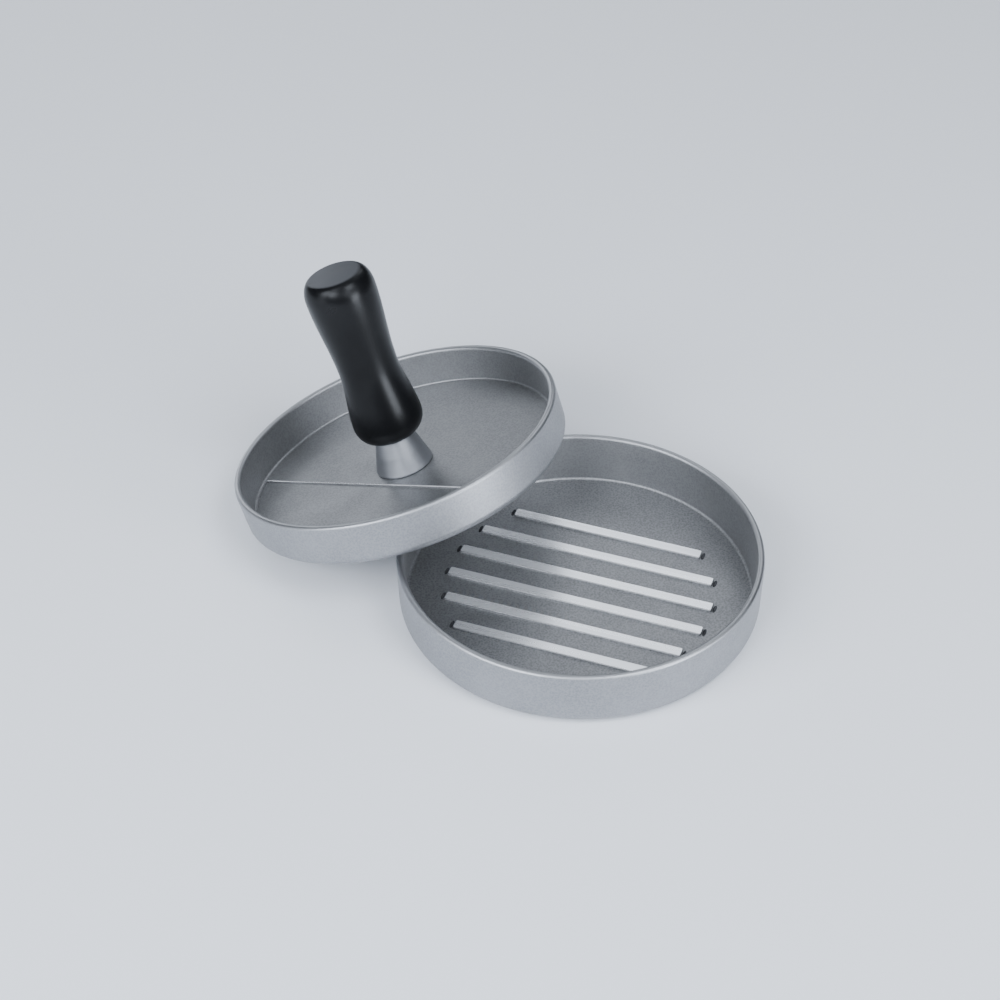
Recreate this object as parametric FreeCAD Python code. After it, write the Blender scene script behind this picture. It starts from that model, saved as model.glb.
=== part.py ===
import FreeCAD, Part
import math
import os

# A two-piece kitchen patty press: a shallow round base dish with low ribs on its floor, and
# a press plate with a handle.  The plate stands on its low edge and leans on the base's rim.
# Millimetres, +Z up.  The origin is the centre of the base's underside.  The lean is towards -X.

Vector = FreeCAD.Vector

# --- driving dimensions: base dish -------------------------------------------------------
base_radius = 60.0            # outside of the rim
base_height = 21.2
base_wall = 2.35              # thickness of the rim
base_outer_draft = 0.7        # how much smaller the outside is at the bottom
base_inner_draft = 0.35       # how much smaller the inside is at the floor
base_floor = 3.0
base_foot_round = 5.0         # outside rounding between wall and underside
base_inner_round = 1.0        # inside rounding between wall and floor

# --- driving dimensions: ribs, shared by both castings ------------------------------------
rib_count = 6
rib_pitch = 11.8
rib_width = 4.0
rib_end_margin = 13.3         # flat ring left between the rib ends and the base's wall
base_rib_height = 0.8
base_rib_turn = 10.2          # degrees from +X
rib_pit_gap = 0.2             # flat floor between a rib's end and its sunk relief
rib_pit_width = 1.1
rib_pit_depth = 1.1
rib_pit_span = 3.4            # across the rib

# --- driving dimensions: press plate ------------------------------------------------------
plate_clearance = 0.63        # radial gap between the plate and the inside of the base's rim
plate_height = 15.5
plate_wall = 2.4
plate_outer_draft = 0.2
plate_inner_draft = 0.6
plate_floor = 2.7
plate_foot_round = 3.0
plate_inner_round = 0.7
plate_rib_height = 1.0
plate_rib_turn = 2.4          # degrees from the lean, also the turn of the floor step
plate_pad_land = 5.6          # flat pad round the screw recess, level with the ribs
step_depth = 0.8              # the front part of the plate's floor lies this much lower
step_offset = 12.8            # from the handle's axis to the step
step_wall_margin = 1.0

# --- driving dimensions: screw and washers ------------------------------------------------
screw_radius = 2.5
screw_length = 27.0
screw_head_radius = 4.75
screw_head_height = 3.0
screw_head_round = 1.2
slot_width = 1.2
slot_depth = 1.4
washer_radius = 5.0
washer_thickness = 1.0
spring_washer_radius = 4.6
spring_washer_thickness = 1.1
spring_washer_gap = 1.0
hole_clearance = 0.25         # round the screw's shank
recess_clearance = 0.4        # round the washer in the plate's underside
screw_web = 3.0               # metal left over the recess
screw_sink = 0.6              # how far the head stays inside the underside

# --- driving dimensions: collar -----------------------------------------------------------
boss_wall = 1.6               # metal between the screw recess and the outside of the boss
collar_height = 12.2
collar_skirt = 3.4            # how far its foot reaches past the boss
collar_taper = 3.6            # how much smaller its top is than its foot
collar_bottom_round = 0.8
collar_boss_clearance = 0.2

# --- driving dimensions: handle -----------------------------------------------------------
handle_length = 62.2
handle_bulge_radius = 12.1
handle_bulge_height = 6.5     # from the handle's lower end to its widest low point
handle_foot_radius = 6.3      # flat lower end that stands on the collar
handle_waist_radius = 10.1
handle_waist_height = 27.1
handle_head_radius = 11.95
handle_head_height = 54.9
handle_top_round = 3.6
handle_top_crown = 0.5
insert_wall = 1.5
insert_length = 20.0
insert_groove_depth = 0.35
insert_groove_width = 2.0
insert_groove_height = 11.0   # from the insert's lower end
handle_pocket = 3.0           # room for the screw's end above the insert

# --- driving dimensions: the lean ---------------------------------------------------------
lean_angle = 19.2
lean_gap = 0.25               # air between the rim and the plane of the plate's ribs
lean_side_offset = 9.5        # how far the plate's axis lies beside the base's axis

rim_flat = 0.02               # flat left on top of the rounded rims

CURVE_PULL = 0.5523           # makes a cubic curve follow a quarter of an ellipse
SAME_PLACE = 1e-6             # points closer than this are one point

# --- values that follow -------------------------------------------------------------------
rib_end_radius = base_radius - base_wall - rib_end_margin
plate_radius = base_radius - base_wall - plate_clearance
recess_radius = washer_radius + recess_clearance
boss_radius = recess_radius + boss_wall
plate_pad_radius = recess_radius + plate_pad_land
collar_bottom_radius = boss_radius + collar_skirt
collar_top_radius = collar_bottom_radius - collar_taper
insert_radius = screw_radius + insert_wall
screw_hole_radius = screw_radius + hole_clearance
pad_face = -plate_rib_height
head_bottom = pad_face + screw_sink
head_top = head_bottom + screw_head_height
recess_top = head_top + spring_washer_thickness + washer_thickness
boss_top = recess_top + screw_web
collar_top = plate_floor + collar_height


def rounded_profile(corners):
    """Closed wire in the XZ plane through (radius, height, rounding) corners."""
    points = [Vector(r, 0, z) for r, z, _ in corners]
    starts, ends, middles = [], [], []
    for index, point in enumerate(points):
        before = (points[index - 1] - point).normalize()
        after = (points[(index + 1) % len(points)] - point).normalize()
        rounding = corners[index][2]
        half = before.getAngle(after) / 2
        reach = rounding / math.tan(half) if rounding else 0.0
        bisector = (before + after).normalize() if rounding else Vector()
        centre = point + bisector * (rounding / math.sin(half))
        starts.append(point + before * reach)
        ends.append(point + after * reach)
        middles.append(centre - bisector * rounding)
    edges = []
    for index in range(len(points)):
        if corners[index][2]:
            edges.append(Part.Arc(starts[index], middles[index], ends[index]).toShape())
        following = starts[(index + 1) % len(points)]
        if (following - ends[index]).Length > SAME_PLACE:
            edges.append(Part.LineSegment(ends[index], following).toShape())
    return Part.Wire(edges)


def revolve(wire):
    """Solid of revolution about Z."""
    return Part.Face(wire).revolve(Vector(), Vector(0, 0, 1), 360)


def cylinder(radius, low, high):
    return Part.makeCylinder(radius, high - low, Vector(0, 0, low))


def bar(length, width, low, high, offset=0.0):
    """Box along X, centred on X, its middle line at Y = offset."""
    corner = Vector(-length / 2, offset - width / 2, low)
    return Part.makeBox(length, width, high - low, corner)


def turned(shape, degrees):
    copy = shape.copy()
    copy.rotate(Vector(), Vector(0, 0, 1), degrees)
    return copy


def rib_offsets():
    """Sideways places of the ribs, even about the axis."""
    middle = (rib_count - 1) / 2
    return [(index - middle) * rib_pitch for index in range(rib_count)]


def rib_reach(offset):
    """From the middle of a rib to its end, so that all the ends lie near one circle."""
    return math.sqrt(rib_end_radius ** 2 - offset ** 2)


def ribs(low, high, turn):
    """Parallel bars with square ends."""
    return [turned(bar(2 * rib_reach(offset), rib_width, low, high, offset), turn)
            for offset in rib_offsets()]


def rib_end_pits(face, turn):
    """Short round-ended sinks just outside the two ends of each rib."""
    low = face - rib_pit_depth
    high = face + base_rib_height
    radius = rib_pit_width / 2
    straight = rib_pit_span - rib_pit_width
    pits = []
    for offset in rib_offsets():
        out = rib_reach(offset) + rib_pit_gap + radius
        for end in (-out, out):
            pit = bar(rib_pit_width, straight, low, high, offset)
            pit = pit.fuse([Part.makeCylinder(radius, high - low, Vector(0, offset + side, low))
                            for side in (-straight / 2, straight / 2)]).removeSplitter()
            pit.translate(Vector(end, 0, 0))
            pits.append(turned(pit, turn))
    return pits


def dish(outer, height, wall, outer_draft, inner_draft, floor, foot_round, inner_round):
    """Open round dish standing on Z = 0, with a fully rounded rim."""
    inner = outer - wall
    rim_round = wall / 2 - rim_flat / 2
    return revolve(rounded_profile([
        (0, 0, 0),
        (outer - outer_draft, 0, foot_round),
        (outer, height, rim_round),
        (inner, height, rim_round),
        (inner - inner_draft, floor, inner_round),
        (0, floor, 0),
    ]))


def make_base_dish():
    body = dish(base_radius, base_height, base_wall, base_outer_draft, base_inner_draft,
                base_floor, base_foot_round, base_inner_round)
    body = body.fuse(ribs(base_floor - base_rib_height, base_floor + base_rib_height,
                          base_rib_turn))
    return body.cut(rib_end_pits(base_floor, base_rib_turn)).removeSplitter()


def floor_step():
    """The part of the plate's floor in front of the step, as a cutter."""
    radius = plate_radius - plate_wall - plate_inner_draft - step_wall_margin
    disc = cylinder(radius, plate_floor - step_depth, plate_floor + step_depth)
    depth = radius - step_offset
    front = bar(2 * radius, depth, plate_floor - step_depth, plate_floor + step_depth,
                -step_offset - depth / 2)
    return turned(disc.common(front), plate_rib_turn)


def make_press_plate():
    body = dish(plate_radius, plate_height, plate_wall, plate_outer_draft, plate_inner_draft,
                plate_floor, plate_foot_round, plate_inner_round)
    underside = ribs(pad_face, plate_floor / 2, plate_rib_turn)
    body = body.fuse(underside + [cylinder(plate_pad_radius, pad_face, plate_floor / 2),
                                  cylinder(boss_radius, plate_floor / 2, boss_top)])
    body = body.cut([floor_step(), cylinder(recess_radius, pad_face, recess_top),
                     cylinder(screw_hole_radius, pad_face, boss_top)])
    return body.removeSplitter()


def make_collar():
    outside = revolve(rounded_profile([
        (0, plate_floor, 0),
        (collar_bottom_radius, plate_floor, collar_bottom_round),
        (collar_top_radius, collar_top, 0),
        (0, collar_top, 0),
    ]))
    socket_top = boss_top + collar_boss_clearance
    socket = cylinder(boss_radius + collar_boss_clearance, plate_floor, socket_top)
    return outside.cut([socket, cylinder(screw_hole_radius, socket_top, collar_top)])


def rounded_corner(start, corner, end):
    """Quarter of an ellipse from start to end, inside the corner between them."""
    first = start + (corner - start) * CURVE_PULL
    second = end + (corner - end) * CURVE_PULL
    curve = Part.BezierCurve()
    curve.setPoles([start, first, second, end])
    return curve.toShape()


def handle_outline():
    """Half outline of the handle: round bulge, waist, head and a slightly crowned top."""
    low = collar_top
    top = low + handle_length
    shoulder = top - handle_top_crown
    crown_radius = handle_head_radius - handle_top_round
    foot = Vector(handle_foot_radius, 0, low)
    bulge = Vector(handle_bulge_radius, 0, low + handle_bulge_height)
    waist = Vector(handle_waist_radius, 0, low + handle_waist_height)
    head = Vector(handle_head_radius, 0, low + handle_head_height)
    crown = Vector(crown_radius, 0, shoulder)
    side = Part.BSplineCurve()
    side.interpolate([bulge, waist, head], Tangents=[Vector(0, 0, 1)] * 3,
                     TangentFlags=[True] * 3)
    sphere = (crown_radius ** 2 + handle_top_crown ** 2) / (2 * handle_top_crown)
    crown_sink = sphere - math.sqrt(sphere ** 2 - (crown_radius / 2) ** 2)
    crown_middle = Vector(crown_radius / 2, 0, top - crown_sink)
    return Part.Wire([
        Part.LineSegment(Vector(0, 0, low), foot).toShape(),
        rounded_corner(foot, Vector(handle_bulge_radius, 0, low), bulge),
        side.toShape(),
        rounded_corner(head, Vector(handle_head_radius, 0, shoulder), crown),
        Part.Arc(crown, crown_middle, Vector(0, 0, top)).toShape(),
        Part.LineSegment(Vector(0, 0, top), Vector(0, 0, low)).toShape(),
    ])


def insert_blank():
    """Outside of the threaded insert, and so the hole moulded round it."""
    body = cylinder(insert_radius, collar_top, collar_top + insert_length)
    groove_low = collar_top + insert_groove_height
    groove = cylinder(insert_radius, groove_low, groove_low + insert_groove_width)
    groove = groove.cut(cylinder(insert_radius - insert_groove_depth, collar_top,
                                 collar_top + insert_length))
    return body.cut(groove)


def make_handle():
    pocket = cylinder(screw_hole_radius, collar_top, collar_top + insert_length + handle_pocket)
    return revolve(handle_outline()).cut([insert_blank(), pocket])


def make_threaded_insert():
    return insert_blank().cut(cylinder(screw_radius, collar_top, collar_top + insert_length))


def make_handle_screw():
    head = revolve(rounded_profile([
        (0, head_bottom, 0),
        (screw_head_radius, head_bottom, screw_head_round),
        (screw_head_radius, head_top, 0),
        (0, head_top, 0),
    ]))
    slot = bar(2 * screw_head_radius, slot_width, head_bottom, head_bottom + slot_depth)
    cross = head.cut([slot, turned(slot, 90)])
    return cross.fuse(cylinder(screw_radius, head_top, head_top + screw_length))


def make_spring_washer():
    low = head_top
    high = low + spring_washer_thickness
    ring = cylinder(spring_washer_radius, low, high).cut(cylinder(screw_hole_radius, low, high))
    split = Part.makeBox(spring_washer_radius, spring_washer_gap, spring_washer_thickness,
                         Vector(0, -spring_washer_gap / 2, low))
    return ring.cut(split)


def make_plain_washer():
    low = head_top + spring_washer_thickness
    high = low + washer_thickness
    return cylinder(washer_radius, low, high).cut(cylinder(screw_hole_radius, low, high))


def leaning(shape):
    """Move a piece from the plate's own frame to where the plate leans on the base."""
    sine = math.sin(math.radians(lean_angle))
    cosine = math.cos(math.radians(lean_angle))
    edge = plate_foot_round
    edge_radius = plate_radius - plate_outer_draft - edge
    height = edge + sine * edge_radius - cosine * edge
    rim_tube = base_wall / 2
    rim_reach = sine * (base_radius - rim_tube) + cosine * (base_height - rim_tube) + rim_tube
    across = (cosine * height - rim_reach - plate_rib_height - lean_gap) / sine
    place = FreeCAD.Placement(Vector(across, lean_side_offset, height),
                              FreeCAD.Rotation(Vector(0, 1, 0), -lean_angle))
    moved = shape.copy()
    moved.Placement = place.multiply(moved.Placement)
    return moved


def main():
    os.makedirs("parts", exist_ok=True)
    pieces = {
        "base_dish": make_base_dish(),
        "press_plate": leaning(make_press_plate()),
        "collar": leaning(make_collar()),
        "handle": leaning(make_handle()),
        "threaded_insert": leaning(make_threaded_insert()),
        "handle_screw": leaning(make_handle_screw()),
        "spring_washer": leaning(make_spring_washer()),
        "plain_washer": leaning(make_plain_washer()),
    }
    for name, shape in pieces.items():
        box = shape.BoundBox
        print(name, "solids", len(shape.Solids), "valid", shape.isValid(),
              "volume %.1f" % shape.Volume,
              "z %.2f to %.2f" % (box.ZMin, box.ZMax))
        shape.exportStep("parts/%s.step" % name)


main()
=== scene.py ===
"""Looks of a two-piece patty press: a ribbed base dish and a press plate with its handle.

Every length is in metres.  Pieces are turned, cut and rounded in their own upright frame, in
which the axis of the piece is Z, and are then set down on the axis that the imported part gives.
"""

import logging
import math
from collections.abc import Callable
from dataclasses import dataclass, field
from enum import Enum

import bmesh
import bpy
from mathutils import Matrix, Vector


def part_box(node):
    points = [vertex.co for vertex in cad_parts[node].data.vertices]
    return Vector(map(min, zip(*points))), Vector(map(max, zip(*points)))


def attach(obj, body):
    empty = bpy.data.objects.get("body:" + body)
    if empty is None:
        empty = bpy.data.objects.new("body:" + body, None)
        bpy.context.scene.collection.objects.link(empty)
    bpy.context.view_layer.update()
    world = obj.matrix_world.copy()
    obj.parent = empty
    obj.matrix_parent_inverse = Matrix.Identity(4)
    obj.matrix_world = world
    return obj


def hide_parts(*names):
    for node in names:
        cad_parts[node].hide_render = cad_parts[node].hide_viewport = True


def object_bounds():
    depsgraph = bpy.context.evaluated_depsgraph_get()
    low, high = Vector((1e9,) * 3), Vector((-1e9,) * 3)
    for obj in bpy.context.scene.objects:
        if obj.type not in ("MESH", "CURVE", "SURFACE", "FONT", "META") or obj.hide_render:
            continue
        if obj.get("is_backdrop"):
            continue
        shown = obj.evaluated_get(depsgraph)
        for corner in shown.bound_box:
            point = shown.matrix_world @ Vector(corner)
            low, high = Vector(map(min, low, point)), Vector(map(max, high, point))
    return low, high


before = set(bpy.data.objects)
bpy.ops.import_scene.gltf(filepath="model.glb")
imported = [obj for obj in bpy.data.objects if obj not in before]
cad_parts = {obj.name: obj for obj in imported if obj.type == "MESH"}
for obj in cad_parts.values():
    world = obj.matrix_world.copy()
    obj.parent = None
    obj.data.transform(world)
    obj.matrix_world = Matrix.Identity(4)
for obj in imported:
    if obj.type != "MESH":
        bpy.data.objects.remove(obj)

LOG = logging.getLogger("patty_press")
MM = 0.001
WELD = 1e-7  # points nearer than this are one
SLACK = 0.005 * MM  # how far a point may lie off the line or level that it is sought on
LEVEL = 0.99  # upright share of the normal from which a face counts as level
RIM_SHARE = 0.98  # of half the wall, so that a rim's two roundings stay just apart
FLOOR_GAP = 0.02 * MM  # between the object and the floor


class Cut(Enum):
    """What a cutter does to a piece."""

    JOIN = "UNION"
    REMOVE = "DIFFERENCE"
    KEEP = "INTERSECT"


class Facing(Enum):
    """Which way a pattern of ribs stands."""

    UP = 1.0
    DOWN = -1.0


# --- work in edit mode --------------------------------------------------------------------


def select_only(piece: bpy.types.Object) -> None:
    """Make one object the only selected and the active one.

    Args:
        piece: The object that the next operators act on.
    """
    bpy.ops.object.select_all(action="DESELECT")
    piece.select_set(True)
    bpy.context.view_layer.objects.active = piece


class Editing:
    """A stretch of edit mode on one mesh, with everything deselected at its start."""

    def __init__(self, piece: bpy.types.Object) -> None:
        """Args: piece is the mesh object to edit."""
        self.piece = piece

    def __enter__(self) -> "Editing":
        """Returns: this editing session, in edit mode."""
        select_only(self.piece)
        bpy.ops.object.mode_set(mode="EDIT")
        bpy.ops.mesh.select_mode(type="VERT")
        bpy.ops.mesh.select_all(action="DESELECT")
        return self

    def __exit__(self, *_: object) -> None:
        """Go back to object mode."""
        bpy.ops.object.mode_set(mode="OBJECT")

    def verts_where(self, test: Callable[[Vector], bool]) -> None:
        """Select the vertices that pass a test, and no others.

        Args:
            test: Takes a vertex place and says whether it is wanted.
        """
        mesh = bmesh.from_edit_mesh(self.piece.data)
        bpy.ops.mesh.select_mode(type="VERT")
        bpy.ops.mesh.select_all(action="DESELECT")
        for vert in [vert for vert in mesh.verts if test(vert.co)]:
            vert.select_set(True)
        mesh.select_flush_mode()
        bmesh.update_edit_mesh(self.piece.data)

    def edges_where(self, test: Callable[[bmesh.types.BMEdge], bool]) -> None:
        """Select the edges that pass a test, and no others.

        Args:
            test: Takes an edge and says whether it is wanted.
        """
        bpy.ops.mesh.select_mode(type="EDGE")
        bpy.ops.mesh.select_all(action="DESELECT")
        mesh = bmesh.from_edit_mesh(self.piece.data)
        for edge in [edge for edge in mesh.edges if test(edge)]:
            edge.select_set(True)
        bmesh.update_edit_mesh(self.piece.data)

    def round_off(self, offset: float, segments: int, affect: str = "EDGES") -> None:
        """Bevel what is selected.

        Args:
            offset: Size of the rounding.
            segments: How many flats it gets.
            affect: What is rounded, EDGES or VERTICES.
        """
        bpy.ops.mesh.bevel(offset=offset, segments=segments, affect=affect,
                           clamp_overlap=True)


def lathe(name: str, outline: list[tuple[float, float, float]], steps: int = 192,
          closed: bool = False) -> bpy.types.Object:
    """Turn an outline about Z.

    Args:
        name: Name of the new piece.
        outline: Corners as (radius, height, rounding).
        steps: How many flats go round the piece.
        closed: Whether the outline returns to its first corner, as on a piece with a hole.

    Returns:
        The turned piece, closed and with its faces outwards.
    """
    first = Vector((outline[0][0], 0, outline[0][1]))
    bpy.ops.object.select_all(action="DESELECT")
    bpy.ops.mesh.primitive_plane_add(size=MM, location=first)
    piece = bpy.context.object
    piece.name = piece.data.name = name
    bpy.ops.object.transform_apply(location=True, rotation=True, scale=True)
    with Editing(piece) as editing:
        bpy.ops.mesh.select_all(action="SELECT")
        bpy.ops.mesh.merge(type="CENTER")
        place = first
        for radius, height, _ in outline[1:]:
            target = Vector((radius, 0, height))
            bpy.ops.mesh.extrude_region_move(TRANSFORM_OT_translate={"value": target - place})
            place = target
        if closed:
            editing.verts_where(lambda co: min((co - first).length, (co - place).length) < WELD)
            bpy.ops.mesh.edge_face_add()
        for radius, height, rounding in outline:
            if rounding:
                corner = Vector((radius, 0, height))
                editing.verts_where(lambda co: (co - corner).length < WELD)
                editing.round_off(rounding, rounding_steps(rounding), "VERTICES")
        bpy.ops.mesh.select_all(action="SELECT")
        bpy.ops.mesh.spin(steps=steps, dupli=False, angle=math.tau, center=(0, 0, 0),
                          axis=(0, 0, 1), use_auto_merge=True)
        bpy.ops.mesh.select_all(action="SELECT")
        bpy.ops.mesh.remove_doubles(threshold=WELD)
        bpy.ops.mesh.normals_make_consistent(inside=False)
    return piece


def rounding_steps(rounding: float) -> int:
    """Returns: how many flats a rounding of this radius gets, more on a larger one."""
    return max(3, min(10, round(rounding / (0.3 * MM)) + 3))


def lay(piece: bpy.types.Object, place: Matrix) -> None:
    """Move an object to a place and leave the place in its mesh."""
    piece.matrix_world = place
    select_only(piece)
    bpy.ops.object.transform_apply(location=True, rotation=True, scale=True)


def shaped(size: Vector, middle: Vector, turn: float) -> Matrix:
    """Returns: a unit shape's placing, with its size, centre and degrees about Z."""
    return (Matrix.Rotation(math.radians(turn), 4, "Z") @ Matrix.Translation(middle)
            @ Matrix.Diagonal((*size, 1.0)))


def block(name: str, size: Vector, middle: Vector, turn: float = 0.0) -> bpy.types.Object:
    """Make a cutter block.

    Args:
        name: Name of the block.
        size: Its length along each axis.
        middle: Its centre, before the turn.
        turn: Degrees about Z, round the origin.

    Returns:
        The block, with its place in its mesh.
    """
    bpy.ops.object.select_all(action="DESELECT")
    bpy.ops.mesh.primitive_cube_add(size=1.0)
    piece = bpy.context.object
    piece.name = name
    lay(piece, shaped(size, middle, turn))
    return piece


def combine(piece: bpy.types.Object, tool: bpy.types.Object, cut: Cut) -> None:
    """Join a tool to a piece, cut it away or keep what they share, and drop the tool.

    Args:
        piece: The piece that changes.
        tool: The closed mesh that it is combined with.
        cut: What is done.
    """
    select_only(piece)
    bpy.ops.object.modifier_add(type="BOOLEAN")
    modifier = piece.modifiers[-1]
    modifier.operation = cut.value
    modifier.solver = "EXACT"
    modifier.object = tool
    bpy.ops.object.modifier_apply(modifier=modifier.name)
    bpy.data.objects.remove(tool, do_unlink=True)


def merge_pieces(name: str, pieces: list[bpy.types.Object]) -> bpy.types.Object:
    """Returns: one object that holds all the pieces' meshes, under a new name."""
    bpy.ops.object.select_all(action="DESELECT")
    for piece in pieces:
        piece.select_set(True)
    bpy.context.view_layer.objects.active = pieces[0]
    if len(pieces) > 1:
        bpy.ops.object.join()
    joined = bpy.context.view_layer.objects.active
    joined.name = joined.data.name = name
    return joined


def smooth(piece: bpy.types.Object, sharp_angle: float = 32.0) -> None:
    """Shade a piece smoothly, with large flats kept flat.

    Args:
        piece: The piece to shade.
        sharp_angle: Edges that turn more than this many degrees stay crisp.
    """
    select_only(piece)
    bpy.ops.object.shade_smooth_by_angle(angle=math.radians(sharp_angle))
    bpy.ops.object.modifier_add(type="WEIGHTED_NORMAL")
    modifier = piece.modifiers[-1]
    modifier.keep_sharp = True
    modifier.weight = 50
    bpy.ops.object.modifier_apply(modifier=modifier.name)


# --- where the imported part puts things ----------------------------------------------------


@dataclass(frozen=True)
class Axle:
    """The line that a turned piece is centred on.

    Attributes:
        origin: Where the piece's own zero height lies.
        along: Unit direction of the piece's own +Z.
    """

    origin: Vector
    along: Vector

    def placing(self) -> Matrix:
        """Returns: the matrix that takes the piece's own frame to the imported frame."""
        up = self.along
        side = Vector((0, 1, 0))
        ahead = side.cross(up).normalized()
        side = up.cross(ahead)
        turn = Matrix((ahead, side, up)).transposed().to_4x4()
        return Matrix.Translation(self.origin) @ turn

    def span(self, node: str) -> tuple[float, float, float]:
        """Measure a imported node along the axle.

        Args:
            node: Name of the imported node.

        Returns:
            Its lowest and highest place along the axle, and its greatest radius.
        """
        heights, radii = [], []
        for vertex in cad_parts[node].data.vertices:
            arm = vertex.co - self.origin
            height = arm.dot(self.along)
            heights.append(height)
            radii.append((arm - height * self.along).length)
        return min(heights), max(heights), max(radii)


def middle_of(node: str) -> Vector:
    """Returns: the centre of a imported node's box."""
    low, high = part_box(node)
    return (Vector(low) + Vector(high)) / 2


def base_axle() -> Axle:
    """Returns: the upright axle of the base dish, from its underside."""
    low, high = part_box("base_dish")
    return Axle(Vector(((low[0] + high[0]) / 2, (low[1] + high[1]) / 2, low[2])),
                Vector((0, 0, 1)))


def plate_axle(rib_height: float) -> Axle:
    """Find the leaning axle from two round pieces that are centred on it.

    Args:
        rib_height: How far the ribs stand out under the plate's underside.

    Returns:
        The axle of the press plate, with its zero at the underside between the ribs.
    """
    washer = middle_of("plain_washer")
    along = (middle_of("threaded_insert") - washer).normalized()
    lowest = Axle(washer, along).span("press_plate")[0]
    return Axle(washer + along * (lowest + rib_height), along)


# --- shared effects, as node groups -------------------------------------------------------


Colour = tuple[float, float, float]
Socket = bpy.types.NodeSocket


class Wiring:
    """A node tree under construction."""

    def __init__(self, tree: bpy.types.NodeTree) -> None:
        """Args: tree is the tree that gets the nodes."""
        self.tree = tree

    def feed(self, node: bpy.types.Node, label: str | int, value: object) -> None:
        """Link a socket to one of a node's inputs, or set the input to a value.

        Args:
            node: The node.
            label: The input's number, or its name with underscores for spaces.
            value: A socket or a plain value.
        """
        key = label.replace("_", " ") if isinstance(label, str) else label
        if isinstance(value, Socket):
            self.tree.links.new(value, node.inputs[key])
        else:
            node.inputs[key].default_value = value

    def node(self, kind: str, **settings: object) -> bpy.types.Node:
        """Add a node and set its properties, or its inputs where no property has that name.

        Args:
            kind: Blender's name of the node type.
            **settings: Property or input names, and their values or sockets.

        Returns:
            The new node.
        """
        node = self.tree.nodes.new(kind)
        for label, value in settings.items():
            if hasattr(node, label):
                setattr(node, label, value)
            else:
                self.feed(node, label, value)
        return node

    def compute(self, operation: str, *values: object) -> Socket:
        """Returns: the result of a Math operation on sockets or numbers."""
        node = self.node("ShaderNodeMath", operation=operation)
        for index, value in enumerate(values):
            self.feed(node, index, value)
        return node.outputs[0]


class EffectGroup(Wiring):
    """Builds one shader node group with named sockets, once."""

    def __init__(self, name: str, inputs: dict[str, float | None],
                 outputs: tuple[str, ...]) -> None:
        """Open a group.

        Args:
            name: Name of the group.
            inputs: Each input's default value, or None for a place.
            outputs: Names of its outputs, which are all numbers.
        """
        super().__init__(bpy.data.node_groups.new(name, "ShaderNodeTree"))
        new_socket = self.tree.interface.new_socket
        for label, value in inputs.items():
            kind = "NodeSocketVector" if value is None else "NodeSocketFloat"
            entry = new_socket(label, in_out="INPUT", socket_type=kind)
            if value is not None:
                entry.default_value = value
        for label in outputs:
            new_socket(label, in_out="OUTPUT", socket_type="NodeSocketFloat")
        self.given = self.tree.nodes.new("NodeGroupInput").outputs
        self.exit = self.tree.nodes.new("NodeGroupOutput")

    def close(self, **results: Socket) -> bpy.types.NodeTree:
        """Returns: the finished group, with each output linked to its result."""
        for label, result in results.items():
            self.feed(self.exit, label, result)
        return self.tree


def blasted_grain() -> bpy.types.NodeTree:
    """Fine blasted or moulded grain, with broad soft blotches.

    Returns:
        A group that gives a bump height and a tone, both from 0 to 1.
    """
    group = EffectGroup("blasted_grain", {"Place": None, "Grain": 3000.0, "Blotches": 60.0},
                        ("Height", "Tone"))
    place, grain, blotches = group.given[:3]
    grit = group.node("ShaderNodeTexNoise", Vector=place, Scale=grain, Detail=4.0,
                      Roughness=0.6)
    cells = group.node("ShaderNodeTexVoronoi", feature="SMOOTH_F1", Vector=place, Scale=grain,
                       Smoothness=0.6)
    blotch = group.node("ShaderNodeTexNoise", Vector=place, Scale=blotches, Detail=3.0,
                        Roughness=0.5)
    both = group.compute("ADD", grit.outputs["Fac"], cells.outputs["Distance"])
    return group.close(Height=group.compute("MULTIPLY", both, 0.5),
                       Tone=blotch.outputs["Fac"])


def band_mask() -> bpy.types.NodeTree:
    """A soft band round one value, such as the crest of a rim.

    Returns:
        A group that gives 1 where the value is at the centre and 0 past the reach.
    """
    group = EffectGroup("band_mask", {"Value": 0.0, "Centre": 0.0, "Reach": 1.0}, ("Mask",))
    value, centre, reach = group.given[:3]
    away = group.compute("ABSOLUTE", group.compute("SUBTRACT", value, centre))
    fade = group.node("ShaderNodeMapRange", interpolation_type="SMOOTHSTEP",
                      Value=group.compute("DIVIDE", away, reach), From_Min=1.0, From_Max=0.0)
    return group.close(Mask=fade.outputs["Result"])


def tool_marks() -> bpy.types.NodeTree:
    """Fine parallel lines that a cutting tool leaves across one coordinate.

    Returns:
        A group that gives a bump height and a tone, both from 0 to 1.
    """
    group = EffectGroup("tool_marks", {"Across": 0.0, "Along": 0.0, "Lines per metre": 6000.0},
                        ("Height", "Tone"))
    across, along, lines = group.given[:3]
    place = group.node("ShaderNodeCombineXYZ", X=group.compute("MULTIPLY", across, lines),
                       Y=group.compute("MULTIPLY", along, 40.0)).outputs[0]
    fine = group.node("ShaderNodeTexNoise", Vector=place, Scale=1.0, Detail=3.0, Roughness=0.7)
    broad = group.node("ShaderNodeTexNoise", Vector=place, Scale=0.12, Detail=2.0,
                       Roughness=0.5)
    return group.close(Height=fine.outputs["Fac"], Tone=broad.outputs["Fac"])


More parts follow.
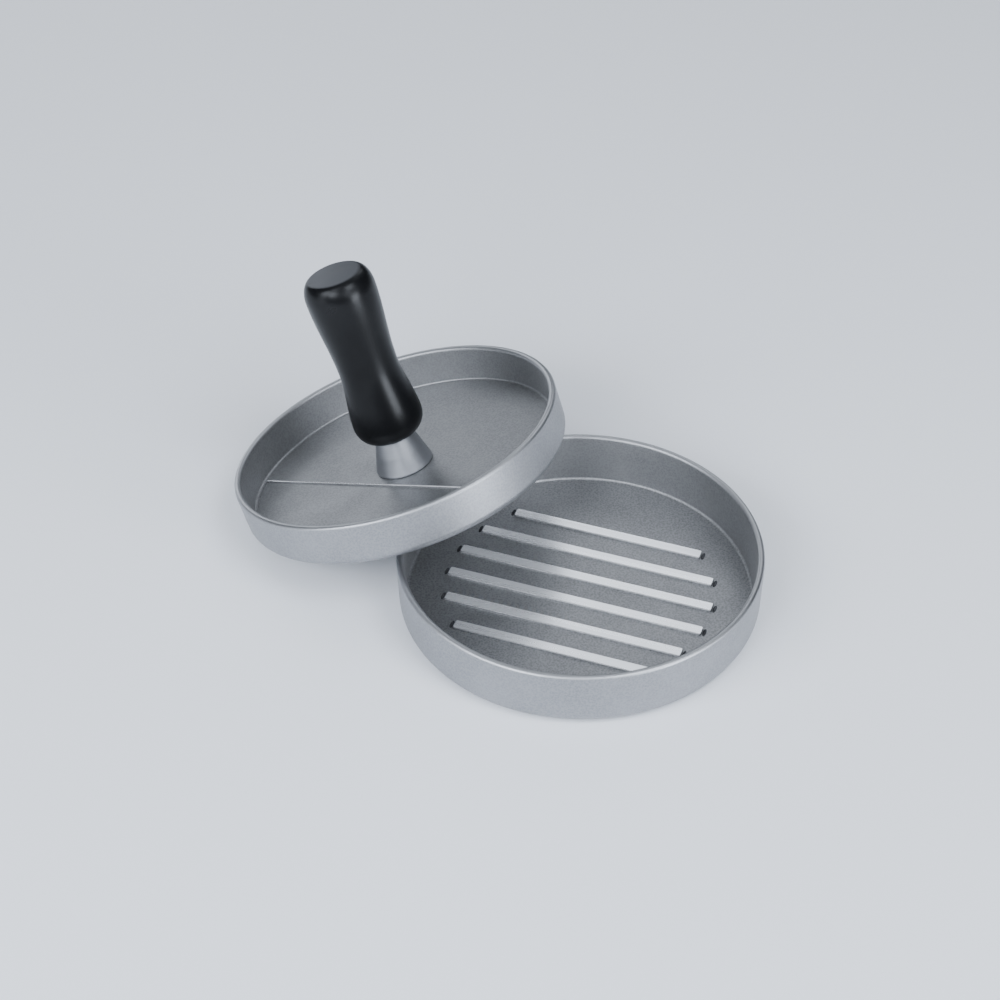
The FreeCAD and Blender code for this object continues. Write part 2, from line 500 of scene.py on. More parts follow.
def hand_wear() -> bpy.types.NodeTree:
    """Sparse hairline scratches and soft smudges from use.

    Returns:
        A group that gives a scratch mask and a smudge mask.
    """
    group = EffectGroup("hand_wear", {"Place": None, "Scratches": 90.0, "Smudges": 45.0},
                        ("Scratch", "Smudge"))
    place, scratches, smudges = group.given[:3]
    warp = group.node("ShaderNodeMapping", Vector=place, Rotation=(0.3, 0.2, 0.7),
                      Scale=(1.0, 14.0, 5.0))
    lines = group.node("ShaderNodeTexNoise", Vector=warp.outputs[0], Scale=scratches,
                       Detail=2.0, Roughness=0.4, Distortion=0.3)
    smear = group.node("ShaderNodeTexNoise", Vector=place, Scale=smudges, Detail=4.0,
                       Roughness=0.55, Distortion=0.8)
    pick = group.node("ShaderNodeMapRange", Value=lines.outputs["Fac"], From_Min=0.66,
                      From_Max=0.74)
    soft = group.node("ShaderNodeMapRange", interpolation_type="SMOOTHSTEP",
                      Value=smear.outputs["Fac"], From_Min=0.42, From_Max=0.7)
    return group.close(Scratch=pick.outputs["Result"], Smudge=soft.outputs["Result"])


@dataclass(frozen=True)
class Effects:
    """The shared node groups, built once."""

    grain: bpy.types.NodeTree
    band: bpy.types.NodeTree
    marks: bpy.types.NodeTree
    wear: bpy.types.NodeTree

    @classmethod
    def build(cls) -> "Effects":
        """Returns: all shared groups."""
        return cls(blasted_grain(), band_mask(), tool_marks(), hand_wear())


# --- finishes -----------------------------------------------------------------------------


class Recipe(Wiring):
    """A material under construction, with its Principled shader."""

    def __init__(self, name: str, effects: Effects) -> None:
        """Args: name is the material's name, effects are the shared node groups."""
        self.effects = effects
        self.material = bpy.data.materials.new(name)
        self.material.use_nodes = True
        super().__init__(self.material.node_tree)
        self.shader = self.tree.nodes["Principled BSDF"]

    def use(self, group: bpy.types.NodeTree, **values: object) -> bpy.types.Node:
        """Returns: a node that holds a shared effect, with its inputs given."""
        return self.node("ShaderNodeGroup", node_tree=group, **values)

    def shade(self, **values: object) -> None:
        """Give the shader's inputs their sockets or plain values."""
        for label, value in values.items():
            self.feed(self.shader, label, value)

    def any_place(self) -> Socket:
        """Returns: a surface point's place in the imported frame."""
        return self.node("ShaderNodeTexCoord").outputs["Object"]

    def own_place(self, axle: Axle) -> Socket:
        """Find a surface point's place in the piece's own upright frame.

        Args:
            axle: The axle that the piece is set on.

        Returns:
            A vector socket: Z runs along the axle, from its origin.
        """
        back = axle.placing().inverted()
        return self.node("ShaderNodeMapping", vector_type="POINT", Vector=self.any_place(),
                         Location=back.to_translation(),
                         Rotation=back.to_euler("XYZ")).outputs[0]

    def height_of(self, place: Socket) -> Socket:
        """Returns: a socket with the height along the axle."""
        return self.node("ShaderNodeSeparateXYZ", Vector=place).outputs["Z"]

    def radius_of(self, place: Socket) -> Socket:
        """Returns: a socket with the distance from the axle."""
        flat = self.node("ShaderNodeVectorMath", operation="MULTIPLY")
        length = self.node("ShaderNodeVectorMath", operation="LENGTH")
        self.feed(flat, 0, place)
        self.feed(flat, 1, (1.0, 1.0, 0.0))
        self.feed(length, 0, flat.outputs[0])
        return length.outputs["Value"]

    def blend(self, mask: Socket, low: Colour | Socket, high: Colour | Socket) -> Socket:
        """Mix two colours by a mask.

        Args:
            mask: Socket with the share of the second colour.
            low: The first colour.
            high: The second colour.

        Returns:
            The mixed colour's socket.
        """
        mix = self.node("ShaderNodeMix", data_type="RGBA")
        for slot, value in ((0, mask), (6, low), (7, high)):
            self.feed(mix, slot, (*value, 1.0) if isinstance(value, tuple) else value)
        return mix.outputs[2]

    def ramp(self, value: Socket, low: float, high: float, start: float = 0.3,
             end: float = 0.7) -> Socket:
        """Turn a value from start to end into one from low to high.

        Args:
            value: Socket to read.
            low: Result at start.
            high: Result at end.
            start: Value that gives low.
            end: Value that gives high.

        Returns:
            The result's socket.
        """
        return self.node("ShaderNodeMapRange", Value=value, From_Min=start, From_Max=end,
                         To_Min=low, To_Max=high).outputs["Result"]

    def weighted(self, first: Socket, second: Socket, weight: float) -> Socket:
        """Returns: a socket with first plus weight times second."""
        return self.compute("MULTIPLY_ADD", second, weight, first)

    def bump(self, height: Socket, strength: float, depth: float) -> None:
        """Put fine relief on the shader.

        Args:
            height: Socket with the relief, from 0 to 1.
            strength: How strongly it shows.
            depth: Its real depth.
        """
        relief = self.node("ShaderNodeBump", Strength=strength, Distance=depth, Height=height)
        self.shade(Normal=relief.outputs[0])


class Finish:
    """A surface finish, which can be made a material."""

    def material(self, name: str, effects: Effects) -> bpy.types.Material:
        """Build the material.

        Args:
            name: Its name.
            effects: The shared node groups.

        Returns:
            The finished material.
        """
        recipe = Recipe(name, effects)
        self.wire(recipe)
        return recipe.material

    def wire(self, recipe: Recipe) -> None:
        """Wire the finish into a recipe, each kind in its own way."""
        raise NotImplementedError


@dataclass(frozen=True)
class CastAluminium(Finish):
    """Sand-cast and fine-blasted aluminium, bright on its rubbed rim, with painted shade on its
    floor.

    Attributes:
        axle: Axle of the casting.
        rim_height: Height of the rim's crest.
        inner_radius: Radius between the wall's inner and outer skin.
        floor_radius: Radius of the inside corner between wall and floor.
        floor_height: Height of the floor.
        floor_shade_share: How far the floor goes from the inner colour to the painted floor
            shade.
        rim_reach: How far below the crest the rubbed band fades out.
        floor_reach: How far above and below the floor its painted shade fades out.
        edge_reach: Width over which one skin passes into the next.
        skin_start: Shares of the floor's height where the inner skin begins and is whole.
        body: Colour of the blasted skin outside, bluer as painted reflection of the pale floor.
        shade: Colour of its darker blotches.
        inner: Colour of the skin inside, without the painted floor reflection.
        inner_shade: Colour of its darker blotches.
        painted_floor_shade: Colour of painted shade over the whole floor, for the shade in the
            dish's hollow.
        rubbed: Colour where the skin is rubbed bright.
        rough: Roughness of the skin.
        rubbed_rough: Roughness of the rim's crest.
    """

    axle: Axle
    rim_height: float
    inner_radius: float
    floor_radius: float
    floor_height: float
    floor_shade_share: float
    rim_reach: float = 1.0 * MM
    floor_reach: float = 2.0 * MM
    edge_reach: float = 0.5 * MM
    skin_start: tuple[float, float] = (0.35, 0.65)
    body: Colour = (0.322, 0.328, 0.345)
    shade: Colour = (0.273, 0.279, 0.294)
    inner: Colour = (0.322, 0.323, 0.326)
    inner_shade: Colour = (0.273, 0.274, 0.277)
    painted_floor_shade: Colour = (0.16, 0.16, 0.161)
    rubbed: Colour = (0.43, 0.434, 0.445)
    rough: float = 0.50
    rubbed_rough: float = 0.42

    def wire(self, recipe: Recipe) -> None:
        """Lay the skins over one another, and the grain and wear over them.

        Args:
            recipe: The material under construction.
        """
        place = recipe.own_place(self.axle)
        height, radius = recipe.height_of(place), recipe.radius_of(place)
        grain = recipe.use(recipe.effects.grain, Place=place, Grain=1500.0, Blotches=55.0)
        wear = recipe.use(recipe.effects.wear, Place=place, Scratches=70.0, Smudges=38.0)
        rim = recipe.use(recipe.effects.band, Value=height, Centre=self.rim_height,
                         Reach=self.rim_reach).outputs["Mask"]
        low = recipe.use(recipe.effects.band, Value=height, Centre=self.floor_height,
                         Reach=self.floor_reach).outputs["Mask"]
        within = recipe.ramp(radius, 1.0, 0.0, self.inner_radius - self.edge_reach,
                             self.inner_radius + self.edge_reach)
        raised = recipe.ramp(height, 0.0, 1.0, self.floor_height * self.skin_start[0],
                             self.floor_height * self.skin_start[1])
        # Painted shade: the floor inside the inner corner is darkened towards the painted floor
        # shade, by the share given.
        flat = recipe.ramp(radius, self.floor_shade_share, 0.0, self.floor_radius - self.edge_reach,
                           self.floor_radius + self.edge_reach)
        tone = recipe.ramp(grain.outputs["Tone"], 0.0, 1.0)
        # Painted reflection: the outer skin is bluer than the inner one, for the pale bluish
        # floor that the outer walls reflect.
        skin = recipe.blend(recipe.compute("MULTIPLY", within, raised),
                            recipe.blend(tone, self.shade, self.body),
                            recipe.blend(tone, self.inner_shade, self.inner))
        skin = recipe.blend(recipe.compute("MULTIPLY", flat, low), skin, self.painted_floor_shade)
        specks = recipe.ramp(grain.outputs["Height"], 0.0, 0.55, 0.3, 0.6)
        skin = recipe.blend(specks, skin, self.rubbed)
        rough = recipe.ramp(grain.outputs["Tone"], self.rough + 0.04, self.rough - 0.03)
        rough = recipe.weighted(rough, wear.outputs["Smudge"], -0.03)
        rough = recipe.weighted(rough, rim, self.rubbed_rough - self.rough)
        recipe.shade(Base_Color=recipe.blend(rim, skin, self.rubbed), Roughness=rough,
                     Metallic=1.0)
        relief = recipe.weighted(grain.outputs["Height"], wear.outputs["Scratch"], -0.3)
        recipe.bump(relief, 0.5, 0.06 * MM)


@dataclass(frozen=True)
class MachinedLand(Finish):
    """Milled rib tops: bright, with fine lines along the rib.

    Attributes:
        axle: Axle of the casting.
        turn: Degrees from the casting's own +X to the ribs.
        colour: Colour of the cut metal.
        dull: Colour between the lines.
        rough: Roughness of the cut.
        metallic: Share of mirror-like metal; the rest is the cut's matt scatter.
    """

    axle: Axle
    turn: float
    colour: Colour = (0.95, 0.955, 0.965)
    dull: Colour = (0.86, 0.865, 0.88)
    rough: float = 0.28
    metallic: float = 0.8

    def wire(self, recipe: Recipe) -> None:
        """Draw the cutter's lines along the ribs.

        Args:
            recipe: The material under construction.
        """
        turned = recipe.node("ShaderNodeMapping", Vector=recipe.own_place(self.axle),
                             Rotation=(0, 0, -math.radians(self.turn)))
        parts = recipe.node("ShaderNodeSeparateXYZ", Vector=turned.outputs[0])
        marks = recipe.use(recipe.effects.marks, Across=parts.outputs["Y"],
                           Along=parts.outputs["X"], Lines_per_metre=5200.0)
        tone = recipe.ramp(marks.outputs["Height"], 0.0, 1.0)
        recipe.shade(Base_Color=recipe.blend(tone, self.dull, self.colour),
                     Roughness=recipe.ramp(marks.outputs["Tone"], self.rough - 0.04,
                                           self.rough + 0.05),
                     Metallic=self.metallic)
        recipe.bump(marks.outputs["Height"], 0.25, 0.01 * MM)


@dataclass(frozen=True)
class PaintedPitShade(Finish):
    """Painted shade in the small sinks: a dark skin that stands in for their shadow.

    Attributes:
        axle: Axle of the casting.
        colour: Colour of the skin.
        light: Colour of its lighter flecks.
        metallic: Share of bare metal under the skin.
    """

    axle: Axle
    colour: Colour = (0.06, 0.061, 0.065)
    light: Colour = (0.11, 0.112, 0.118)
    metallic: float = 0.6

    def wire(self, recipe: Recipe) -> None:
        """Scatter the flecks over the skin.

        Args:
            recipe: The material under construction.
        """
        grain = recipe.use(recipe.effects.grain, Place=recipe.own_place(self.axle),
                           Grain=2400.0, Blotches=400.0)
        flecks = recipe.ramp(grain.outputs["Height"], 0.0, 1.0)
        recipe.shade(Base_Color=recipe.blend(flecks, self.colour, self.light),
                     Roughness=recipe.ramp(grain.outputs["Tone"], 0.8, 0.65),
                     Metallic=self.metallic)
        recipe.bump(grain.outputs["Height"], 0.5, 0.05 * MM)


@dataclass(frozen=True)
class TurnedMetal(Finish):
    """Metal off a lathe, with fine rings round its axle.

    Attributes:
        axle: Axle of the piece.
        colour: Colour of the metal.
        dull: Colour in the grooves between the rings.
        rough: Roughness of the surface.
        rings: Tool marks per metre along the axle.
    """

    axle: Axle
    colour: Colour = (0.44, 0.45, 0.47)
    dull: Colour = (0.37, 0.38, 0.40)
    rough: float = 0.42
    rings: float = 5200.0

    def wire(self, recipe: Recipe) -> None:
        """Run the rings round the axle, up walls and across ends alike.

        Args:
            recipe: The material under construction.
        """
        place = recipe.own_place(self.axle)
        across = recipe.weighted(recipe.height_of(place), recipe.radius_of(place), 1.0)
        marks = recipe.use(recipe.effects.marks, Across=across, Lines_per_metre=self.rings)
        wear = recipe.use(recipe.effects.wear, Place=place, Scratches=120.0, Smudges=80.0)
        tone = recipe.ramp(marks.outputs["Height"], 0.0, 1.0)
        rough = recipe.ramp(marks.outputs["Tone"], self.rough - 0.03, self.rough + 0.05)
        recipe.shade(Base_Color=recipe.blend(tone, self.dull, self.colour),
                     Roughness=recipe.weighted(rough, wear.outputs["Smudge"], 0.05),
                     Metallic=1.0)
        recipe.bump(marks.outputs["Height"], 0.2, 0.01 * MM)


@dataclass(frozen=True)
class MouldedPlastic(Finish):
    """Black moulded plastic with a fine satin grain, polished a little by the hand, with painted
    light on its flat top.

    Attributes:
        axle: Axle of the handle.
        top_height: Height of the flat top's edge.
        colour: Colour of the plastic.
        worn: Colour where it is rubbed.
        top: Colour of the flat top, painted lighter for the light that it reflects from above.
        rough: Roughness of the mould's grain.
        top_rough: Roughness of the flat top.
        gloss: Strength of the plastic's sheen, where 0.5 is usual.
    """

    axle: Axle
    top_height: float
    colour: Colour = (0.0032, 0.0033, 0.0038)
    worn: Colour = (0.0075, 0.0077, 0.0085)
    top: Colour = (0.060, 0.0615, 0.066)
    rough: float = 0.31
    top_rough: float = 0.5
    gloss: float = 0.19

    def wire(self, recipe: Recipe) -> None:
        """Grain the grip, and paint light onto its flat top.

        Args:
            recipe: The material under construction.
        """
        place = recipe.own_place(self.axle)
        grain = recipe.use(recipe.effects.grain, Place=place, Grain=3600.0, Blotches=70.0)
        wear = recipe.use(recipe.effects.wear, Place=place, Scratches=80.0, Smudges=50.0)
        cap = recipe.ramp(recipe.height_of(place), 0.0, 1.0, self.top_height - 0.25 * MM,
                          self.top_height + 0.05 * MM)
        grip = recipe.blend(recipe.ramp(grain.outputs["Tone"], 0.0, 0.6), self.colour,
                            self.worn)
        rough = recipe.ramp(grain.outputs["Tone"], self.rough + 0.03, self.rough - 0.03)
        rough = recipe.weighted(rough, wear.outputs["Smudge"], -0.03)
        rough = recipe.weighted(rough, cap, self.top_rough - self.rough)
        # Painted light: the flat top gets a far lighter colour than the grip.
        recipe.shade(Base_Color=recipe.blend(cap, grip, self.top), Roughness=rough,
                     Specular_IOR_Level=self.gloss)
        relief = recipe.weighted(grain.outputs["Height"], wear.outputs["Scratch"], -0.1)
        recipe.bump(relief, 0.2, 0.02 * MM)


@dataclass(frozen=True)
class PaleTop(Finish):
    """The plain pale surface that the press stands on.

    Attributes:
        colour: Its colour.
        mottle: Colour of its faint darker patches.
        solid_radius: Where it begins to fade into the backdrop.
        gone_radius: Where it has faded out.
        rough: Its roughness.
    """

    colour: Colour = (0.84, 0.855, 0.885)
    mottle: Colour = (0.82, 0.835, 0.865)
    solid_radius: float = 500.0 * MM
    gone_radius: float = 950.0 * MM
    rough: float = 0.85

    def wire(self, recipe: Recipe) -> None:
        """Mottle the surface faintly, and fade it out where it is looked at from afar.

        Args:
            recipe: The material under construction.
        """
        place = recipe.any_place()
        grain = recipe.use(recipe.effects.grain, Place=place, Grain=900.0, Blotches=4.0)
        far = recipe.ramp(recipe.radius_of(place), 0.0, -1.0, self.solid_radius,
                          self.gone_radius)
        seen = recipe.node("ShaderNodeLightPath").outputs["Is Camera Ray"]
        recipe.shade(
            Base_Color=recipe.blend(grain.outputs["Tone"], self.mottle, self.colour),
            Alpha=recipe.compute("ADD", recipe.compute("MULTIPLY", far, seen), 1.0),
            Roughness=self.rough)


# --- the castings -------------------------------------------------------------------------


@dataclass(frozen=True)
class RibPattern:
    """Parallel bars whose ends lie on one circle.

    Attributes:
        end_radius: Radius of the circle that their ends lie on.
        turn: Degrees from +X.
        count: Number of bars.
        pitch: From one bar's middle to the next.
        width: Width of a bar.
        edge_round: Rounding of the bars' upper edges.
        corner_round: Rounding of their corners, seen from above.
    """

    end_radius: float
    turn: float
    count: int = 6
    pitch: float = 11.8 * MM
    width: float = 4.0 * MM
    edge_round: float = 0.3 * MM
    corner_round: float = 0.8 * MM

    def offsets(self) -> list[float]:
        """Returns: the bars' sideways places, even about the axle."""
        return [(index - (self.count - 1) / 2) * self.pitch for index in range(self.count)]

    def bars(self, face: float, height: float, facing: Facing, sink: float) -> bpy.types.Object:
        """Make the bars as one closed tool.

        Args:
            face: Height of the surface that they stand on.
            height: How far they stand out of it.
            facing: Which way they stand.
            sink: How far they reach into the casting.

        Returns:
            The bars, ready to be joined to the casting.
        """
        low = face - sink if facing is Facing.UP else face - height
        high = face + height if facing is Facing.UP else face + sink
        bars = []
        for offset in self.offsets():
            size = Vector((2 * self.reach(offset), self.width, high - low))
            bars.append(block("bar", size, Vector((0, offset, (low + high) / 2)), self.turn))
        tool = merge_pieces("bars", bars)
        with Editing(tool) as editing:
            editing.edges_where(lambda edge: abs(edge.verts[0].co.z - edge.verts[1].co.z) > WELD)
            editing.round_off(self.corner_round, 4)
        return tool

    def reach(self, offset: float) -> float:
        """Returns: how far a bar's end lies from its middle, with the ends near one circle."""
        return math.sqrt(self.end_radius ** 2 - offset ** 2)

    def sideways(self, place: Vector) -> float:
        """Returns: how far a place lies from the axle, square to the bars."""
        turn = math.radians(self.turn)
        return place.y * math.cos(turn) - place.x * math.sin(turn)

    def across(self, place: Vector) -> float:
        """Returns: how far a place lies sideways from the nearest bar's middle line."""
        return min(abs(self.sideways(place) - offset) for offset in self.offsets())

    def round_edges(self, piece: bpy.types.Object, crest: float, root: float) -> None:
        """Round the crest edges of the bars.

        Args:
            piece: The casting that holds the bars.
            crest: Height of the bars' outer face.
            root: Height of the surface that they stand on.
        """
        limit = self.end_radius + self.width
        wide = self.width / 2 + 4 * SLACK

        def near(vert: bmesh.types.BMVert, height: float) -> bool:
            """Returns: whether a vertex is on a bar at this height."""
            on_bar = math.hypot(vert.co.x, vert.co.y) < limit and self.across(vert.co) < wide
            return on_bar and abs(vert.co.z - height) < SLACK / 2

        def crest_edge(edge: bmesh.types.BMEdge) -> bool:
            """Returns: whether an edge bounds the crest or stands at a bar's corner."""
            if len(edge.link_faces) != 2 or edge.calc_face_angle(0.0) < math.radians(30):
                return False
            first, second = edge.verts
            return (near(first, crest) and (near(second, crest) or near(second, root))
                    or near(second, crest) and near(first, root))

        with Editing(piece) as editing:
            editing.edges_where(crest_edge)
            editing.round_off(self.edge_round, 3)


@dataclass(frozen=True)
class DishShape:
    """Sizes that the two castings share as a kind.

    Attributes:
        radius: Outside of the rim.
        height: From the underside to the crest of the rim.
        wall: Thickness of the rim.
        outer_draft: How much smaller the outside is at the bottom.
        inner_draft: How much smaller the inside is at the floor.
        floor: Height of the floor.
        foot_round: Rounding between the wall and the underside.
        inner_round: Rounding between the wall and the floor.
    """

    radius: float
    height: float
    wall: float
    outer_draft: float
    inner_draft: float
    floor: float
    foot_round: float
    inner_round: float

    def wall_outline(self) -> list[tuple[float, float, float]]:
        """Returns: the corners from the underside's edge, over the rim, to the floor's edge."""
        rim_round = self.wall / 2 * RIM_SHARE
        inner = self.radius - self.wall
        return [(self.radius - self.outer_draft, 0, self.foot_round),
                (self.radius, self.height, rim_round),
                (inner, self.height, rim_round),
                (inner - self.inner_draft, self.floor, self.inner_round)]


@dataclass
class BaseDish:
    """The ribbed dish that the meat is shaped in."""

    effects: Effects
    axle: Axle = field(default_factory=base_axle)
    wall: float = 2.35 * MM
    outer_draft: float = 0.7 * MM
    inner_draft: float = 0.35 * MM
    floor: float = 3.0 * MM
    foot_round: float = 5.0 * MM
    inner_round: float = 1.0 * MM
    rib_height: float = 0.8 * MM
    rib_turn: float = 10.2
    rib_margin: float = 13.3 * MM
    # Share of painted shade on the floor.
    floor_shade_share: float = 0.45
    pit_size: Vector = field(default_factory=lambda: Vector((1.2, 3.5, 2.2)) * MM)
    pit_gap: float = 0.1 * MM

    def build(self) -> bpy.types.Object:
        """Turn the dish, then add the ribs and the small sinks at their ends.

        Returns:
            The finished casting.
        """
        _, height, radius = self.axle.span("base_dish")
        shape = DishShape(radius, height, self.wall, self.outer_draft, self.inner_draft,
                          self.floor, self.foot_round, self.inner_round)
        end_radius = radius - self.wall - self.rib_margin
        ribs = RibPattern(end_radius, self.rib_turn)
        piece = lathe("base_casting", [(0, 0, 0), *shape.wall_outline(), (0, self.floor, 0)])
        combine(piece, ribs.bars(self.floor, self.rib_height, Facing.UP, self.rib_height),
                Cut.JOIN)
        combine(piece, self.pits(ribs), Cut.REMOVE)
        ribs.round_edges(piece, self.floor + self.rib_height, self.floor)
        smooth(piece)
        self.dress(piece, ribs, height)
        lay(piece, self.axle.placing())
        return piece

    def pits(self, ribs: RibPattern) -> bpy.types.Object:
        """Returns: oval cutters just outside both ends of every rib."""
        cutters = []
        for offset in ribs.offsets():
            half = ribs.reach(offset) + self.pit_gap + self.pit_size.x / 2
            for end in (-half, half):
                bpy.ops.object.select_all(action="DESELECT")
                bpy.ops.mesh.primitive_uv_sphere_add(segments=24, ring_count=12, radius=0.5)
                cutter = bpy.context.object
                middle = Vector((end, offset, self.floor))
                lay(cutter, shaped(self.pit_size, middle, ribs.turn))
                cutters.append(cutter)
        return merge_pieces("pits", cutters)

    def dress(self, piece: bpy.types.Object, ribs: RibPattern, height: float) -> None:
        """Give the casting its skin, the rib tops a milled face and the sinks painted shade."""
        inside = ribs.end_radius + self.rib_margin
        skin = CastAluminium(self.axle, height, inside + self.wall / 2,
                             inside - self.inner_draft, self.floor, self.floor_shade_share)
        for finish, name in ((skin, "blasted_base"),
                             (MachinedLand(self.axle, ribs.turn), "milled_ribs"),
                             (PaintedPitShade(self.axle), "painted_pit_shade")):
            piece.data.materials.append(finish.material(name, self.effects))
        ring = ribs.end_radius + self.rib_margin / 2
        for face in piece.data.polygons:
            rise = face.center.z - self.floor
            sunk = -self.pit_size.z < 2 * rise < -4 * SLACK
            if face.normal.z > LEVEL and abs(rise - self.rib_height) < 10 * SLACK:
                face.material_index = 1
            # Painted shade: faces sunk in the pits get the dark pit material.
            elif face.center.to_2d().length < ring and sunk:
                face.material_index = 2
        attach(piece, "base")
        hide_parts("base_dish")


@dataclass
class PressPlate:
    """The plate that presses the meat, a shallow dish with its open side up."""

    effects: Effects
    axle: Axle
    wall: float = 2.4 * MM
    outer_draft: float = 0.2 * MM
    inner_draft: float = 0.6 * MM
    # Share of painted shade on the floor.
    floor_shade_share: float = 0.12
    floor: float = 2.7 * MM
    foot_round: float = 3.0 * MM
    inner_round: float = 0.7 * MM
    rib_height: float = 1.0 * MM
    rib_turn: float = 2.4
    rib_end_radius: float = 44.35 * MM
    pad_radius: float = 11.0 * MM
    pad_round: float = 0.3 * MM
    recess_radius: float = 5.4 * MM
    recess_top: float = 4.7 * MM
    hole_radius: float = 2.75 * MM
    boss_radius: float = 7.0 * MM
    boss_top: float = 7.7 * MM
    step_depth: float = 0.8 * MM
    step_offset: float = 12.8 * MM
    step_margin: float = 1.0 * MM
    step_round: float = 0.55 * MM
    # Slopes of the step's rounded faces that get the painted highlight.
    highlight_slopes: tuple[float, float] = (0.45, 0.9)

    def build(self) -> bpy.types.Object:
        """Turn the plate, then add the ribs below and cut the step in the floor above.

        Returns:
            The finished casting.
        """
        _, height, radius = self.axle.span("press_plate")
        shape = DishShape(radius, height, self.wall, self.outer_draft, self.inner_draft,
                          self.floor, self.foot_round, self.inner_round)
        pad = -self.rib_height
        piece = lathe("plate_casting", [
            (self.recess_radius, pad, self.pad_round),
            (self.pad_radius, pad, self.pad_round),
            (self.pad_radius, 0, 0),
            *shape.wall_outline(),
            (self.boss_radius, self.floor, 0),
            (self.boss_radius, self.boss_top, self.pad_round),
            (self.hole_radius, self.boss_top, 0),
            (self.hole_radius, self.recess_top, 0),
            (self.recess_radius, self.recess_top, 0),
        ], closed=True)
        ribs = RibPattern(self.rib_end_radius, self.rib_turn)
        bars = ribs.bars(0.0, self.rib_height, Facing.DOWN, self.rib_height)
        combine(bars, self.pad_gap(), Cut.REMOVE)
        combine(piece, bars, Cut.JOIN)
        combine(piece, self.step(radius), Cut.REMOVE)
        self.soften_step(piece, ribs)
        ribs.round_edges(piece, pad, 0.0)
        smooth(piece)
        self.dress(piece, ribs, height)
        lay(piece, self.axle.placing())
        return piece

    def pad_gap(self) -> bpy.types.Object:
        """Returns: the disc that keeps the ribs out of the screw's pad."""
        reach = 3 * self.rib_height
        inside = self.pad_radius - self.pad_round
        return lathe("pad_gap", [(0, -reach, 0), (inside, -reach, 0), (inside, reach, 0),
                                 (0, reach, 0)])

    def step(self, radius: float) -> bpy.types.Object:
        """Returns: the cutter for the lower part of the floor in front of the step."""
        outer = radius - self.wall - self.inner_draft - self.step_margin
        low = self.floor - self.step_depth
        high = self.floor + self.step_depth
        disc = lathe("step", [(0, low, 0), (outer, low, 0), (outer, high, 0), (0, high, 0)])
        depth = outer - self.step_offset
        size = Vector((3 * outer, 2 * depth, 4 * self.step_depth))
        middle = Vector((0, -self.step_offset - depth, self.floor))
        combine(disc, block("front", size, middle, self.rib_turn), Cut.KEEP)
        return disc

    def soften_step(self, piece: bpy.types.Object, ribs: RibPattern) -> None:
        """Round the long straight edge of the step, which runs along the ribs, a little."""

        def on_step(edge: bmesh.types.BMEdge) -> bool:
            """Returns: whether an edge is the step's upper straight edge."""
            return all(abs(ribs.sideways(vert.co) + self.step_offset) <= SLACK
                       and abs(vert.co.z - self.floor) <= SLACK for vert in edge.verts)

        with Editing(piece) as editing:
            editing.edges_where(on_step)
            editing.round_off(self.step_round, 5)

    def dress(self, piece: bpy.types.Object, ribs: RibPattern, height: float) -> None:
        """Give the casting its skin, the rib tops a milled face, and the step's rounded edge a
        painted highlight in the same bright metal.
        """
        outside = self.axle.span("press_plate")[2]
        skin = CastAluminium(self.axle, height, outside - self.wall / 2,
                             outside - self.wall - self.inner_draft, self.floor, self.floor_shade_share)
        land = MachinedLand(self.axle, ribs.turn)
        piece.data.materials.append(skin.material("blasted_plate", self.effects))
        piece.data.materials.append(land.material("milled_plate_ribs_and_step_highlight", self.effects))
        for face in piece.data.polygons:
            past = self.step_round - self.step_offset - ribs.sideways(face.center)
            below = self.floor - face.center.z
            milled = (face.normal.z < -LEVEL
                      and abs(face.center.z + self.rib_height) < 10 * SLACK)
            # Painted highlight: faces of the step's rounding that tilt between these slopes get
            # the bright milled metal.
            rubbed = (0.0 < past < 2 * self.step_round and 0.0 < below < self.step_round
                      and self.highlight_slopes[0] < face.normal.z < self.highlight_slopes[1])
            if milled or rubbed:
                face.material_index = 1
        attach(piece, "press")
        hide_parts("press_plate")


# --- the grip and what holds it -----------------------------------------------------------


@dataclass
class Collar:
    """The conical ferrule between the plate and the handle."""

    effects: Effects
    axle: Axle
    taper: float = 3.6 * MM
    foot_round: float = 0.8 * MM
    top_round: float = 0.3 * MM
    socket_radius: float = 7.2 * MM
    socket_top: float = 7.9 * MM
    hole_radius: float = 2.75 * MM

    def build(self) -> bpy.types.Object:
        """Returns: the turned collar, dressed."""
        low, high, radius = self.axle.span("collar")
        piece = lathe("collar_ferrule", [
            (self.socket_radius, low, 0),
            (radius, low, self.foot_round),
            (radius - self.taper, high, self.top_round),
            (self.hole_radius, high, 0),
            (self.hole_radius, self.socket_top, 0),
            (self.socket_radius, self.socket_top, 0),
        ], steps=128, closed=True)
        smooth(piece)
        metal = TurnedMetal(self.axle)
        piece.data.materials.append(metal.material("turned_collar", self.effects))
        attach(piece, "press")
        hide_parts("collar")
        lay(piece, self.axle.placing())
        return piece


